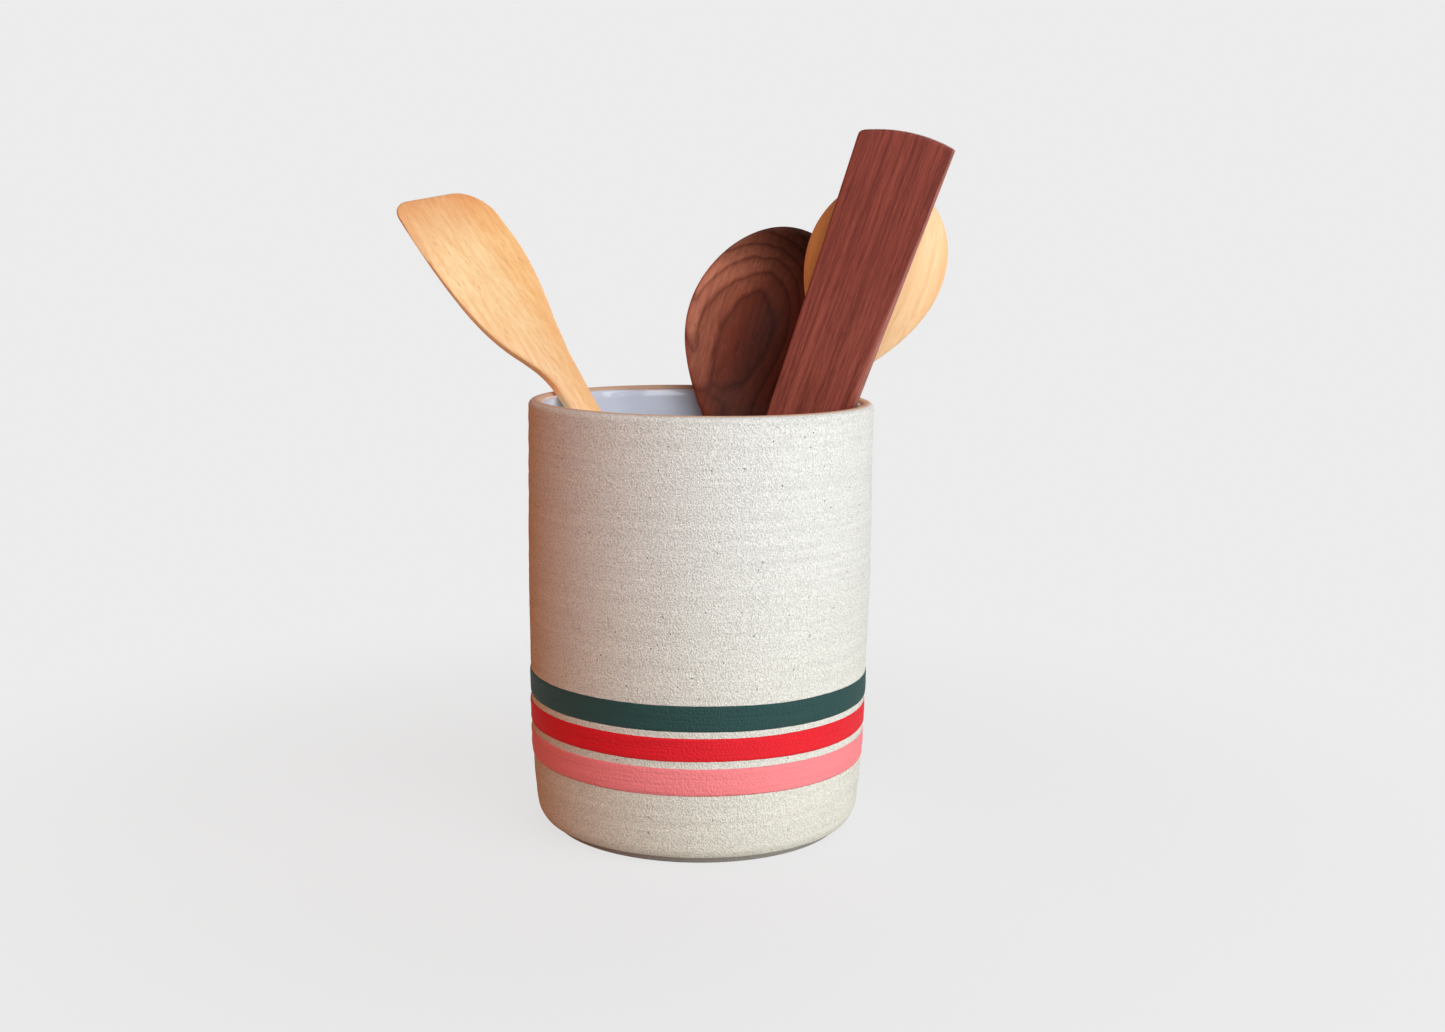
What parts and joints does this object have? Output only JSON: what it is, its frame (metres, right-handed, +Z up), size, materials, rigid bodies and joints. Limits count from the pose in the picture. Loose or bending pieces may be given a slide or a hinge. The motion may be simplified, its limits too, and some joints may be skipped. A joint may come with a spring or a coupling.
{
  "type": "utensil crock",
  "caption": "Straight-sided stoneware crock with coloured slip bands and a glazed inside, holding wooden turner, paddle and spoons that lift out.",
  "frame": {"origin": "centre of the crock's flat foot, on the surface it stands on", "axes": "+Z up along the crock's axis; -Y is the front, towards which the walnut spoon's hollow faces; +X is the side that the paddle leans to"},
  "size_m": [0.2259, 0.1406, 0.2839],
  "materials": {
    "stoneware": "unglazed, speckled sandy grain",
    "clear_glaze": "glossy pale blue-grey glaze",
    "green_slip": "matte brushed slip",
    "red_slip": "matte brushed slip",
    "pink_slip": "matte brushed slip",
    "cherry": "oiled, satin",
    "padauk": "oiled, straight grain",
    "walnut": "oiled, growth rings",
    "maple": "oiled, fine grain"
  },
  "bodies": {
    "crock": {"crock_body": "stoneware", "glaze_liner": "clear_glaze", "slip_band_green": "green_slip", "slip_band_red": "red_slip", "slip_band_pink": "pink_slip"},
    "turner": {"turner": "cherry"},
    "straight_paddle": {"straight_paddle": "padauk"},
    "walnut_spoon": {"walnut_spoon": "walnut"},
    "maple_spoon": {"maple_spoon": "maple"}
  },
  "joints": [
    {"name": "turner_lift", "type": "slide", "parent": "crock", "child": "turner", "axis": [-0.5396, 0.1258, 0.8325], "range_m": [0, 0.3]},
    {"name": "straight_paddle_lift", "type": "slide", "parent": "crock", "child": "straight_paddle", "axis": [0.3088, -0.1341, 0.9416], "range_m": [0, 0.3]},
    {"name": "walnut_spoon_lift", "type": "slide", "parent": "crock", "child": "walnut_spoon", "axis": [0.3123, 0.1088, 0.9437], "range_m": [0, 0.3]},
    {"name": "maple_spoon_lift", "type": "slide", "parent": "crock", "child": "maple_spoon", "axis": [0.268, -0.1327, 0.9542], "range_m": [0, 0.3]}
  ]
}
